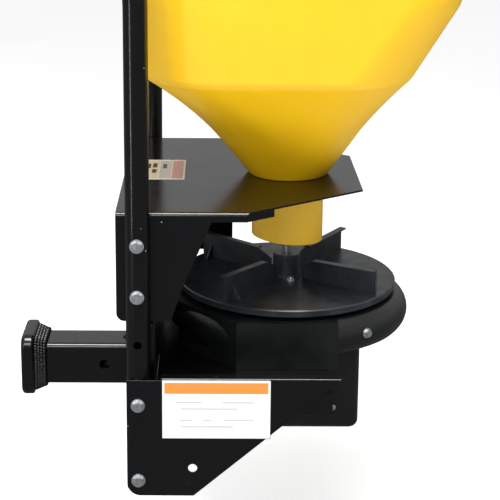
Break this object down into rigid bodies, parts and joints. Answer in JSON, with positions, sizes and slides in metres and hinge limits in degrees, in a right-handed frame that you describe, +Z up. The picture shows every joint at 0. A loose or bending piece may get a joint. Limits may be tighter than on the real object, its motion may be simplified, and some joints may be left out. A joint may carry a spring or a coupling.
{
  "type": "garden spreader",
  "caption": "Receiver-mounted rotary broadcast spreader for salt and grit: square hopper with a funnel, shielded spinner disc, electric drive under it, hoop frame and hitch tube.",
  "frame": {"origin": "centre of the hitch pin hole in the receiver tube, on the mid-plane", "axes": "+X rearwards away from the vehicle, +Y to the right-hand side, +Z up"},
  "size_m": [0.698, 0.5772, 1.011],
  "materials": {
    "black_powder_coat": "glossy black powder coat on steel",
    "hopper_yellow": "rotationally moulded yellow polyethylene, soft gloss",
    "black_moulding": "moulded black plastic, fine texture",
    "spinner_black": "moulded black polyurethane",
    "zinc_plate": "bright zinc plate",
    "stainless_steel": "stainless steel",
    "rubber_black": "black rubber",
    "cast_aluminium": "die-cast aluminium",
    "bearing_steel": "machined steel",
    "bronze": "bronze",
    "printed_label": "printed film label, no lettering"
  },
  "bodies": {
    "frame": {"cable_gland": "black_moulding", "case_bolts": "zinc_plate", "clip_bolts": "zinc_plate", "collar_weld": "black_powder_coat", "cover_screws": "zinc_plate", "cross_panel": "black_powder_coat", "deck": "black_powder_coat", "drive_shroud": "black_moulding", "frame_bolts": "zinc_plate", "frame_nuts": "zinc_plate", "gear_case_lower": "cast_aluminium", "gear_case_upper": "cast_aluminium", "hinge_brackets": "black_powder_coat", "hinge_pins": "zinc_plate", "hoop_frame": "black_powder_coat", "hopper_clips": "black_powder_coat", "hopper_funnel": "hopper_yellow", "hopper_outlet": "hopper_yellow", "hopper_screen": "zinc_plate", "hopper_shoulder": "hopper_yellow", "hopper_tub": "hopper_yellow", "latch_brackets": "zinc_plate", "latch_pins": "zinc_plate", "left_side_plate": "black_powder_coat", "leg_plugs": "black_moulding", "lip_bolts": "zinc_plate", "lower_bearing": "bearing_steel", "motor_can": "bearing_steel", "motor_cover": "black_moulding", "motor_flange": "cast_aluminium", "rating_label": "printed_label", "receiver_collar": "black_powder_coat", "receiver_gussets": "black_powder_coat", "receiver_tube": "black_powder_coat", "right_side_plate": "black_powder_coat", "safety_label": "printed_label", "screen_hooks": "zinc_plate", "shaft_seal": "rubber_black", "shroud_boot": "rubber_black", "side_deflector": "black_powder_coat", "top_shield": "black_powder_coat", "upper_bearing": "bearing_steel", "worm_bush": "bronze"},
    "spinner": {"output_shaft": "stainless_steel", "worm_wheel": "bronze", "spinner_disc": "spinner_black", "spinner_hub": "spinner_black", "hub_bolts": "zinc_plate", "agitator": "stainless_steel"},
    "motor_rotor": {"armature": "bearing_steel", "worm": "bearing_steel"},
    "lid": {"lid": "black_moulding", "lid_skirt": "black_moulding", "lid_handle": "black_moulding"},
    "latch_left": {"latch_left": "rubber_black"},
    "latch_right": {"latch_right": "rubber_black"}
  },
  "joints": [
    {"name": "spinner_spin", "type": "hinge", "parent": "frame", "child": "spinner", "pos_m": [0.296, 0, 0.145], "axis": [0, 0, 1], "continuous": true},
    {"name": "motor_spin", "type": "hinge", "parent": "frame", "child": "motor_rotor", "pos_m": [0.2, -0.038, -0.008], "axis": [1, 0, 0], "continuous": true},
    {"name": "lid_hinge", "type": "hinge", "parent": "frame", "child": "lid", "pos_m": [0.05, 0, 0.824], "axis": [0, -1, 0], "range_deg": [0, 95]},
    {"name": "latch_left_swing", "type": "hinge", "parent": "frame", "child": "latch_left", "pos_m": [0.555, -0.13, 0.775], "axis": [0, 1, 0], "range_deg": [0, 120]},
    {"name": "latch_right_swing", "type": "hinge", "parent": "frame", "child": "latch_right", "pos_m": [0.555, 0.13, 0.775], "axis": [0, 1, 0], "range_deg": [0, 120]}
  ],
  "couplings": [
    {"joint": "motor_spin", "follows": "spinner_spin", "ratio": 10}
  ]
}
